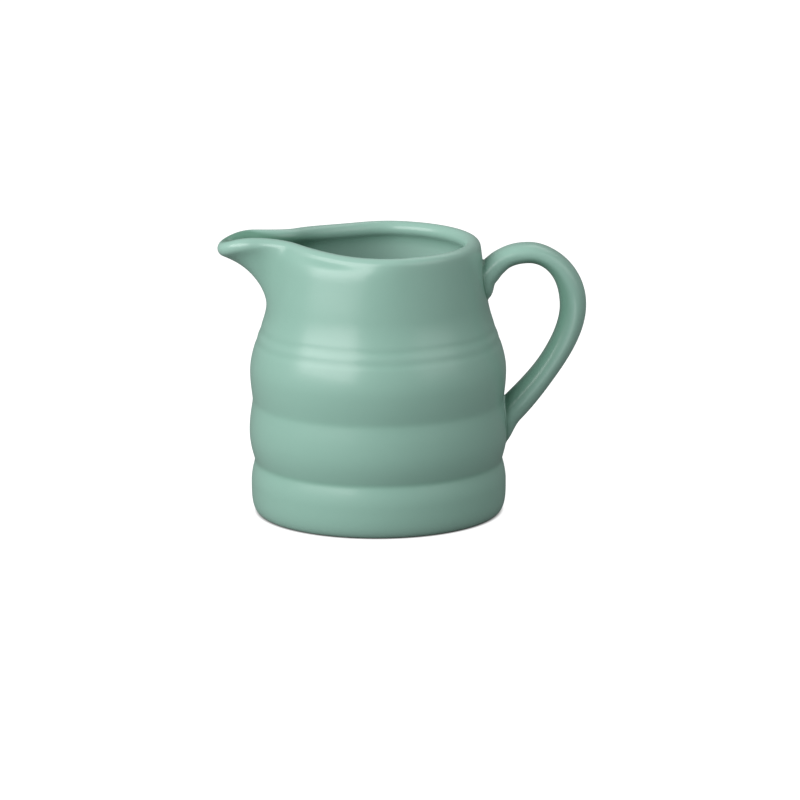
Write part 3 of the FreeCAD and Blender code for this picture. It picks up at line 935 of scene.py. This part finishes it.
class JUG_OT_body(Operator):
    """Builds the jug's body: foot, bands, shoulder, rolled rim, spout and inside"""
    bl_idname = "churn_jug.body"
    bl_label = "Build Body"
    bl_options = {"REGISTER", "UNDO"}

    def execute(self, context):
        jug, _, glaze = scene_settings(context)
        distances = jug.column_distances()
        half = [jug.column(distance) for distance in distances]
        mirrored = [[Vector((p.x, -p.y, p.z)) for p in line] for line in half[-2:0:-1]]
        rings = [list(ring) for ring in zip(*(half + mirrored))]
        mesh = mesh_from_rings("jug_body_glazed", rings, "shut")
        distances += distances[-2:0:-1]
        first_inside = len(rings) - jug.inside_row_count()
        offsets = []
        for row in range(len(rings)):
            offsets += self.depth_with_painted_light(row - first_inside, distances, glaze.inside_painted_light)
        # The middles of the two fans: nothing under the foot, painted light on the floor inside
        write_depth_and_painted_light(mesh, offsets + [0.0, -glaze.inside_painted_light])
        material = glaze_material("body_glaze", glaze, bare_foot=True)
        add_piece("jug_body_glazed", mesh, material, "jug_body")
        return {"FINISHED"}

    def depth_with_painted_light(self, below, distances, inside_painted_light):
        """Painted light inside and painted shade in the spout's channel, as glaze depth round a ring
        that many rows below the rolled rim.
        """
        painted_light = inside_painted_light * ease(below / INSIDE_PAINTED_LIGHT_ROWS)
        depth_with_painted_light = SPOUT_PAINTED_SHADE * ease(below / SPOUT_PAINTED_SHADE_ROWS + 1)
        depth_with_painted_light *= 1 - ease(below / THROAT_ROWS - 1)
        return [depth_with_painted_light * bell(distance, SPOUT_PAINTED_SHADE_REACH) - painted_light for distance in distances]


class JUG_OT_handle(Operator):
    """Builds the strap handle"""
    bl_idname = "churn_jug.handle"
    bl_label = "Build Handle"
    bl_options = {"REGISTER", "UNDO"}

    def execute(self, context):
        _, handle, glaze = scene_settings(context)
        parts = [row / HANDLE_ROWS for row in range(HANDLE_ROWS + 1)]
        lines, depths = [], []
        for index, line in enumerate(handle.lines()):
            free = handle.free_line(line)
            run = run_lengths(free)
            lines.append([at_run(free, run, run[-1] * part) for part in parts])
            turn = 2 * math.pi * index / HANDLE_RING_POINTS
            depths.append([self.depth_with_painted_light(turn, part, run[-1]) for part in parts])
        mesh = mesh_from_rings("handle_glazed", [list(ring) for ring in zip(*lines)], "shut")
        offsets = [depth for ring in zip(*depths) for depth in ring]
        write_depth_and_painted_light(mesh, offsets + [JOINT_POOLING_AND_PAINTED_SHADE, JOINT_POOLING_AND_PAINTED_SHADE])
        material = glaze_material("handle_glaze", glaze)
        add_piece("handle_glazed", mesh, material, "handle")
        return {"FINISHED"}

    def depth_with_painted_light(self, turn, part, run):
        """Glaze depth at a turn round the strap and a part of its run: pooled glaze and painted shade
        at the joints, painted shade on the side facing the gap, a painted highlight along the edge.
        """
        from_end = min(part, 1 - part) * run
        joint = JOINT_POOLING_AND_PAINTED_SHADE * (1 - ease(from_end / JOINT_POOLING_AND_PAINTED_SHADE_REACH))
        first, full, last, end = EDGE_PARTS
        edge = EDGE_PAINTED_HIGHLIGHT * ease((part - first) / (full - first)) * ease((end - part) / (end - last))
        from_edge = math.atan2(math.sin(turn), abs(math.cos(turn))) - EDGE_TURN
        start, full = GAP_PARTS
        gap = GAP_PAINTED_SHADE * ease((part - start) / (full - start))
        return joint + gap * ease(-from_edge / GAP_TURN) - edge * bell(from_edge, EDGE_SPREAD)


class JUG_OT_slip_joints(Operator):
    """Builds the slip that is squeezed out round both ends of the handle"""
    bl_idname = "churn_jug.slip_joints"
    bl_label = "Build Slip Joints"
    bl_options = {"REGISTER", "UNDO"}

    def execute(self, context):
        _, handle, glaze = scene_settings(context)
        material = glaze_material("slip_glaze", glaze)
        upper_lines = [handle.free_line(line) for line in handle.lines()]
        lower_lines = [line[::-1] for line in upper_lines]
        for node, lines in (("upper_slip_joint", upper_lines), ("lower_slip_joint", lower_lines)):
            mesh = self.collar(node + "_glazed", handle, lines)
            add_piece(mesh.name, mesh, material, node)
        return {"FINISHED"}

    def collar(self, name, handle, lines):
        """Ring of slip that fills the corner between the handle and the wall."""
        sizes = handle.handle
        centre = sum((line[0] for line in lines), Vector()) / len(lines)
        sections = []
        for line in lines:
            corner = line[0]
            up_handle = at_run(line, run_lengths(line), sizes.slip_on_handle)
            outward = corner - centre
            wall_out = Vector((corner.x, corner.y, 0)).normalized()
            outward = (outward - wall_out * outward.dot(wall_out)).normalized()
            over_wall = handle.on_wall(corner + outward * sizes.slip_on_wall, sizes.slip_sink)
            up_handle -= outward * sizes.slip_sink
            section = []
            for row in range(SLIP_ROWS + 1):
                part = row / SLIP_ROWS
                section.append(up_handle * (1 - part) ** 2 + corner * (2 * part * (1 - part))
                               + over_wall * part ** 2)
            hidden = corner - outward * SLIP_HIDDEN_INSET * sizes.slip_sink
            section.append(handle.on_wall(hidden, SLIP_HIDDEN_DEPTH * sizes.slip_sink))
            sections.append(section)
        mesh = mesh_from_rings(name, [list(ring) for ring in zip(*sections)], "joined")
        # The whole slip takes pooled glaze and painted shade
        write_depth_and_painted_light(mesh, [JOINT_POOLING_AND_PAINTED_SHADE] * len(mesh.vertices))
        return mesh


# Stage

# Each softbox: name, azimuth and elevation in degrees as the jug sees it (azimuth 0 is the
# camera's side, negative to the left), distance, width and height in metres, and brightness
SOFTBOXES = (
    ("key_softbox", -50.5, 29.0, 1.2, 1.3, 0.75, 5.2),
    ("fill_softbox", 60.0, 29.0, 1.2, 0.9, 0.75, 1.3),
    ("back_softbox", 150.0, 50.0, 1.2, 0.8, 0.5, 1.1),
)

# Width of the camera's sensor in millimetres, how far it sees in metres, and squares of the
# floor's mesh along each side
SENSOR_WIDTH = 36.0
CAMERA_REACH = 20.0
FLOOR_SQUARES = 12


def toward(azimuth, elevation):
    """Direction from the jug, with azimuth 0 to the camera's side and positive to the right."""
    level = math.cos(elevation)
    return Vector((math.sin(azimuth) * level, -math.cos(azimuth) * level, math.sin(elevation)))


def facing(target, direction, distance, roll=0.0):
    """Placement at a distance from a target in a direction, turned to face the target."""
    turn = direction.to_track_quat("Z", "Y").to_matrix() @ Matrix.Rotation(roll, 3, "Z")
    return Matrix.Translation(target + direction * distance) @ turn.to_4x4()


class JUG_OT_stage(Operator):
    """Builds the pale floor, the studio lamps and the camera"""
    bl_idname = "churn_jug.stage"
    bl_label = "Build Stage"
    bl_options = {"REGISTER", "UNDO"}

    def execute(self, context):
        scene = context.scene
        scene.view_settings.view_transform = "Standard"
        self.floor(scene)
        self.room(scene)
        self.softboxes()
        self.camera(scene)
        return {"FINISHED"}

    def camera(self, scene):
        stage = scene.jug_stage
        data = bpy.data.cameras.new("camera")
        data.sensor_width = SENSOR_WIDTH
        data.lens = SENSOR_WIDTH * stage.camera_distance / stage.view_width
        data.clip_end = CAMERA_REACH
        scene.camera = add_object("camera", data)
        aim = Vector((stage.aim_across, 0, stage.aim_height))
        direction = toward(0.0, stage.camera_elevation)
        scene.camera.matrix_world = facing(aim, direction, stage.camera_distance, stage.camera_roll)

    def softboxes(self):
        target = Vector((0, 0, (CAD_BOX[1][2] - CAD_BOX[0][2]) / 2))
        for name, azimuth, elevation, distance, width, height, brightness in SOFTBOXES:
            data = bpy.data.lights.new(name, "AREA")
            data.shape = "RECTANGLE"
            data.size, data.size_y = width, height
            data.energy = brightness * width * height * math.pi
            direction = toward(math.radians(azimuth), math.radians(elevation))
            add_object(name, data).matrix_world = facing(target, direction, distance)

    def room(self, scene):
        """Pale light from all round, which the camera sees as plain white."""
        scene.world = bpy.data.worlds.new("pale_room")
        nodes = NodeMaker(scene.world)
        rays = nodes.add("ShaderNodeLightPath").outputs
        level = nodes.spread(
            rays["Is Glossy Ray"], scene.jug_stage.room_level, scene.jug_stage.room_glint)
        seen = nodes.math("MAXIMUM", rays["Is Camera Ray"], rays["Is Transmission Ray"])
        background = nodes.add("ShaderNodeBackground", {
            "Color": WHITE, "Strength": nodes.spread(seen, level, 1.0)})
        nodes.add("ShaderNodeOutputWorld", {"Surface": background.outputs["Background"]})

    def floor(self, scene):
        stage = scene.jug_stage
        shape = bmesh.new()
        bmesh.ops.create_grid(shape, x_segments=FLOOR_SQUARES, y_segments=FLOOR_SQUARES,
                              size=stage.floor_size / 2)
        mesh = bpy.data.meshes.new("floor")
        shape.to_mesh(mesh)
        shape.free()
        foot_radius = scene.jug_body.body_radius - scene.jug_body.foot_inset
        mesh.materials.append(floor_material(stage, foot_radius))
        floor = add_object("floor", mesh)


class JUG_PT_panel(Panel):
    """Lists what the churn jug is built from"""
    bl_idname = "JUG_PT_panel"
    bl_label = "Churn Jug"
    bl_space_type = "VIEW_3D"
    bl_region_type = "UI"
    bl_category = "Churn Jug"

    def draw(self, context):
        for operator, groups in PANEL_ROWS:
            box = self.layout.box()
            box.operator(operator.bl_idname)
            for group in groups:
                settings = getattr(context.scene, group)
                for name in settings.__annotations__:
                    box.prop(settings, name)


# Each operator, with the groups of settings that the panel shows under it
PANEL_ROWS = (
    (JUG_OT_body, ("jug_body", "jug_rim", "jug_glaze")),
    (JUG_OT_handle, ("jug_handle",)),
    (JUG_OT_slip_joints, ()),
    (JUG_OT_stage, ("jug_stage",)),
)
SETTINGS = {
    "jug_body": JugBodySettings,
    "jug_rim": JugRimSettings,
    "jug_handle": JugHandleSettings,
    "jug_glaze": JugGlazeSettings,
    "jug_stage": JugStageSettings,
}
CLASSES = (*SETTINGS.values(), *(operator for operator, _ in PANEL_ROWS), JUG_PT_panel)


def register():
    for new_class in CLASSES:
        bpy.utils.register_class(new_class)
    for name, group in SETTINGS.items():
        setattr(bpy.types.Scene, name, PointerProperty(type=group))


def unregister():
    for name in SETTINGS:
        delattr(bpy.types.Scene, name)
    for old_class in reversed(CLASSES):
        bpy.utils.unregister_class(old_class)


def main():
    register()
    bpy.ops.churn_jug.body()
    bpy.ops.churn_jug.handle()
    bpy.ops.churn_jug.slip_joints()
    bpy.ops.churn_jug.stage()


if __name__ == "__main__":
    main()
